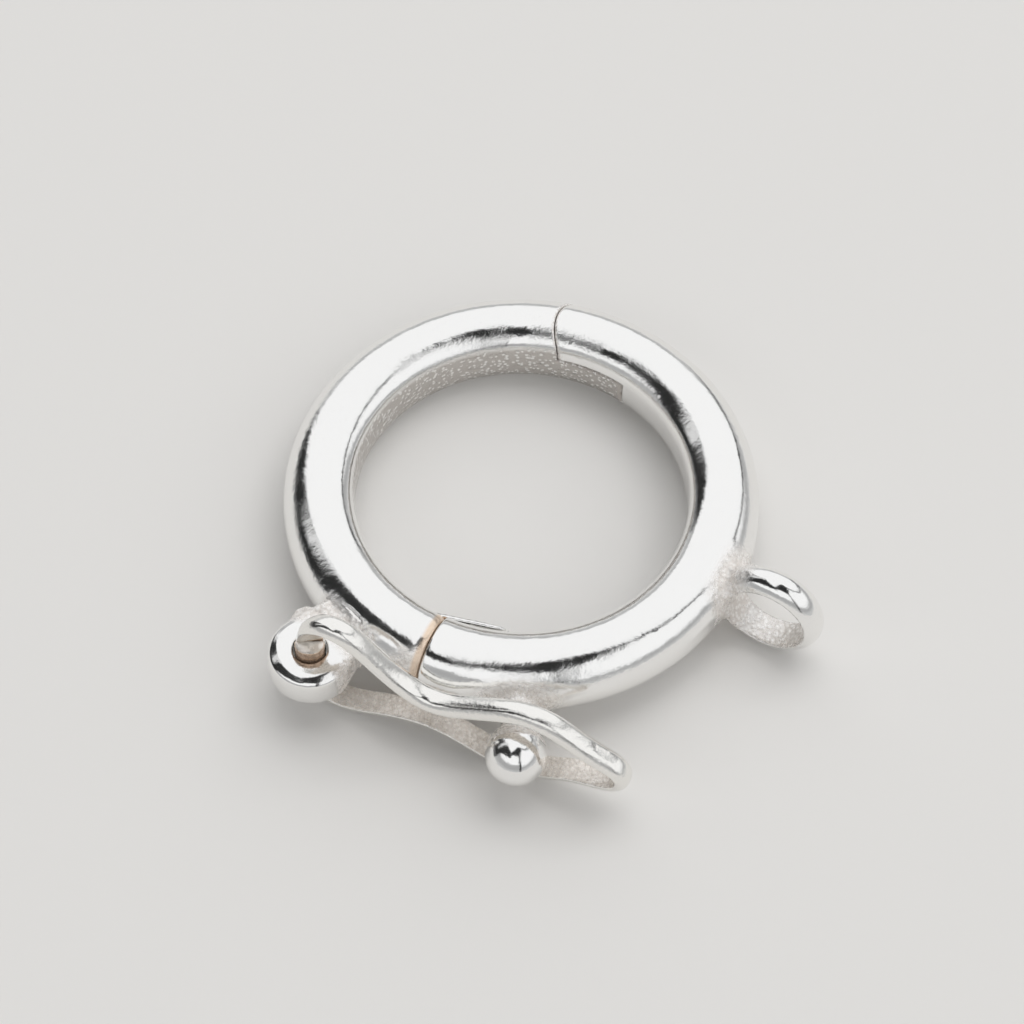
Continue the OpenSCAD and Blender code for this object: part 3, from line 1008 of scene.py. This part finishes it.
# Studio
FLOOR_HALF = 2
FLOOR_COLOUR = (0.80, 0.785, 0.76, 1)
LIGHT_SIZE = (0.5, 0.35)
LIGHT_AT = (0.12, 0.16, 0.5)
LIGHT_TILT = (0.24, -0.31)
LIGHT_POWER = 0.9
SKY_COLOUR = (0.985, 0.99, 1.0, 1)
SKY_LEVEL = 0.94
# The soft boxes' corners, as azimuth and angle from the zenith in degrees
BULGE = [(47, 75), (37, 67), (29, 62), (13, 46), (1, 29), (38, 9)]
BACK = [(152, 32), (137, 58), (131, 88)]
OVERHEAD = [(38, 9), (228, 26), (190, 24.5), (150, 34), (50, 14)]
RIGHT = [(-71, 80), (-66, 33), (-12, 20)]
LEFT_EDGE = [(187, 75), (190, 56), (206, 44.5), (238, 41)]
FRONT_TOP = [(238, 41), (250, 27), (-73, 34)]
FRONT_EDGE = [(-73, 34), (-78, 80)]
STREAK_LEFT = [(153, 33.5), (168, 67.5)]
STREAK_RIGHT = [(160, 70), (142, 45.6)]
STREAK_TOP = [(90, 40), (270, 40)]


def add_floor():
    mesh = bpy.data.meshes.new("floor")
    corners = [(-FLOOR_HALF, -FLOOR_HALF, 0), (FLOOR_HALF, -FLOOR_HALF, 0),
               (FLOOR_HALF, FLOOR_HALF, 0), (-FLOOR_HALF, FLOOR_HALF, 0)]
    mesh.from_pydata(corners, [], [(0, 1, 2, 3)])
    floor = bpy.data.objects.new("floor", mesh)
    scene.collection.objects.link(floor)
    material = bpy.data.materials.new("floor")
    material.use_nodes = True
    n = Nodes(material.node_tree)
    shader = n.add("ShaderNodeBsdfPrincipled", {"Base Color": FLOOR_COLOUR, "Roughness": 0.9})
    n.add("ShaderNodeOutputMaterial", {"Surface": shader.outputs[0]})
    mesh.materials.append(material)


def add_light():
    """One broad soft light fills the floor. The metal doesn't mirror it, only the soft boxes."""
    light = bpy.data.lights.new("overhead", "AREA")
    light.shape = "RECTANGLE"
    light.size, light.size_y = LIGHT_SIZE
    light.energy = LIGHT_POWER
    overhead = bpy.data.objects.new("overhead", light)
    scene.collection.objects.link(overhead)
    tilt = Matrix.Rotation(LIGHT_TILT[0], 4, "Y") @ Matrix.Rotation(LIGHT_TILT[1], 4, "X")
    overhead.matrix_world = Matrix.Translation(LIGHT_AT) @ tilt
    overhead.visible_glossy = False


def sky(az, from_zenith):
    """A direction by its azimuth and its angle from the zenith."""
    turn, angle = math.radians(az), math.radians(from_zenith)
    return np.array([math.sin(angle) * math.cos(turn), math.sin(angle) * math.sin(turn), math.cos(angle)])


class Sky(Nodes):
    """The dark room with its soft boxes, which the metal mirrors."""

    def __init__(self, tree):
        super().__init__(tree)
        self.direction = self.add("ShaderNodeTexCoord").outputs["Generated"]
        self.height = self.add("ShaderNodeSeparateXYZ", {0: self.direction}).outputs["Z"]

    def panel(self, corners, soft=0.025, wide=0.0):
        """A soft box that fills the sky to one side of a path through corners, which runs
        clockwise round the box as seen on a map with the zenith in the middle."""
        total = 1.0
        for start, end in zip(corners, corners[1:]):
            normal = np.cross(sky(*end), sky(*start))
            normal /= np.linalg.norm(normal)
            side = self.add("ShaderNodeVectorMath", {0: self.direction, 1: tuple(normal)},
                            operation="DOT_PRODUCT").outputs["Value"]
            total = self.times(total, self.band(side, -soft - wide, soft - wide))
        return total

    def product(self, *levels):
        total = levels[0]
        for level in levels[1:]:
            total = self.times(total, level)
        return total

    def largest(self, *levels):
        total = levels[0]
        for level in levels[1:]:
            total = self.math("MAXIMUM", total, level)
        return total


def add_sky():
    world = bpy.data.worlds.new("studio")
    scene.world = world
    world.use_nodes = True
    n = Sky(world.node_tree)
    height = n.height
    back_box = n.product(n.panel(BULGE), n.panel(BACK, 0.04), n.band(height, 0.17, 0.26, 0.4, 1.0))
    overhead_box = n.panel(OVERHEAD, 0.03)
    beside_bulge = n.math("SUBTRACT", 1.0, n.panel(BULGE, 0.03, 0.07))
    right_box = n.product(n.panel(RIGHT, 0.03), beside_bulge, n.band(height, 0.22, 0.4, 0.4, 1.0))
    left_side = n.largest(n.panel(LEFT_EDGE, 0.03), n.panel(FRONT_TOP, 0.03))
    front_box = n.product(left_side, n.panel(FRONT_EDGE), n.band(height, 0.4, 0.53, 0.4, 1.0))
    streak = n.product(n.panel(STREAK_LEFT, 0.05), n.panel(STREAK_RIGHT, 0.05), n.panel(STREAK_TOP),
                       n.band(height, 0.33, 0.5, 0.0, 0.75))
    level = n.largest(back_box, overhead_box, right_box, front_box, streak)
    level = n.times_plus(level, SKY_LEVEL, n.band(height, 0.2, 0.0, 0.025, 0.2))
    background = n.add("ShaderNodeBackground", {"Color": SKY_COLOUR, "Strength": level})
    n.add("ShaderNodeOutputWorld", {"Surface": background.outputs[0]})


add_floor()
add_light()
add_sky()
scene.view_settings.view_transform = "Standard"

# Last, update the view layer
bpy.context.view_layer.update()
